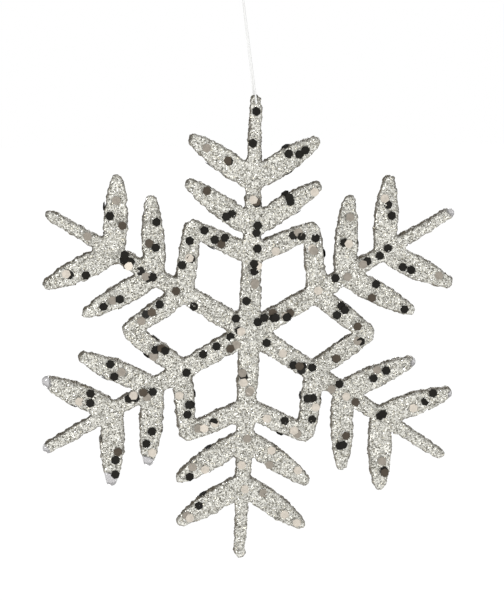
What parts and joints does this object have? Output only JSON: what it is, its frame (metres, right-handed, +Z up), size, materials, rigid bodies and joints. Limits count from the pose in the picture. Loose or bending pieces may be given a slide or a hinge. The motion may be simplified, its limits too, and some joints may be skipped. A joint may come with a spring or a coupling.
{
  "type": "hanging snowflake ornament",
  "caption": "Flat glittered snowflake ornament with leafed fronds round a star frame, scattered hexagonal sequins, hung by a loop of thin thread.",
  "frame": {"origin": "centre of the hanging ring at the top of the thread, where a hook holds it", "axes": "+Z up; the snowflake lies in the XZ plane, its front faces -Y and +X is to the right seen from the front"},
  "size_m": [0.1228, 0.0052, 0.1861],
  "materials": {
    "glitter_coat": "clear moulded plastic coated with fine silver and champagne glitter",
    "black_sequin": "glossy foil sequin",
    "bronze_sequin": "glossy foil sequin",
    "taupe_sequin": "glossy foil sequin",
    "champagne_sequin": "glossy foil sequin",
    "pale_sequin": "pearly foil sequin",
    "thread": "smooth white nylon"
  },
  "bodies": {
    "ring": {"thread_hanging_ring": "thread"},
    "knot": {"thread_knot": "thread"},
    "neck": {"thread_neck": "thread"},
    "loop": {"thread_loop": "thread"},
    "snowflake": {"bottom_inner_leaf_left": "glitter_coat", "bottom_inner_leaf_right": "glitter_coat", "bottom_middle_leaf_left": "glitter_coat", "bottom_middle_leaf_right": "glitter_coat", "bottom_outer_leaf_left": "glitter_coat", "bottom_outer_leaf_right": "glitter_coat", "bottom_stem": "glitter_coat", "hub": "glitter_coat", "lower_left_inner_leaf_left": "glitter_coat", "lower_left_inner_leaf_right": "glitter_coat", "lower_left_middle_leaf_left": "glitter_coat", "lower_left_middle_leaf_right": "glitter_coat", "lower_left_outer_leaf_left": "glitter_coat", "lower_left_outer_leaf_right": "glitter_coat", "lower_left_stem": "glitter_coat", "lower_right_inner_leaf_left": "glitter_coat", "lower_right_inner_leaf_right": "glitter_coat", "lower_right_middle_leaf_left": "glitter_coat", "lower_right_middle_leaf_right": "glitter_coat", "lower_right_outer_leaf_left": "glitter_coat", "lower_right_outer_leaf_right": "glitter_coat", "lower_right_stem": "glitter_coat", "top_inner_leaf_left": "glitter_coat", "top_inner_leaf_right": "glitter_coat", "top_middle_leaf_left": "glitter_coat", "top_middle_leaf_right": "glitter_coat", "top_outer_leaf_left": "glitter_coat", "top_outer_leaf_right": "glitter_coat", "top_stem": "glitter_coat", "upper_left_inner_leaf_left": "glitter_coat", "upper_left_inner_leaf_right": "glitter_coat", "upper_left_middle_leaf_left": "glitter_coat", "upper_left_middle_leaf_right": "glitter_coat", "upper_left_outer_leaf_left": "glitter_coat", "upper_left_outer_leaf_right": "glitter_coat", "upper_left_stem": "glitter_coat", "upper_right_inner_leaf_left": "glitter_coat", "upper_right_inner_leaf_right": "glitter_coat", "upper_right_middle_leaf_left": "glitter_coat", "upper_right_middle_leaf_right": "glitter_coat", "upper_right_outer_leaf_left": "glitter_coat", "upper_right_outer_leaf_right": "glitter_coat", "upper_right_stem": "glitter_coat", "black_sequins_back": "black_sequin", "black_sequins_edge": "black_sequin", "black_sequins_front": "black_sequin", "bronze_sequins_front": "bronze_sequin", "champagne_sequins_front": "champagne_sequin", "pale_sequins_back": "pale_sequin", "taupe_sequins_front": "taupe_sequin"}
  },
  "joints": [
    {"name": "thread_swing", "type": "hinge", "parent": "ring", "child": "knot", "pos_m": [0, 0, 0], "axis": [0, 1, 0], "range_deg": [-60, 60]},
    {"name": "thread_sway", "type": "hinge", "parent": "knot", "child": "neck", "pos_m": [0.00041, 0, -0.00337], "axis": [0.9925, 0, 0.1219], "range_deg": [-60, 60]},
    {"name": "spin", "type": "hinge", "parent": "neck", "child": "loop", "pos_m": [0, 0, 0], "axis": [-0.1219, 0, 0.9925], "continuous": true},
    {"name": "rock", "type": "hinge", "parent": "loop", "child": "snowflake", "pos_m": [0.00585, 0, -0.0476], "axis": [0, 1, 0], "range_deg": [-35, 35]}
  ]
}
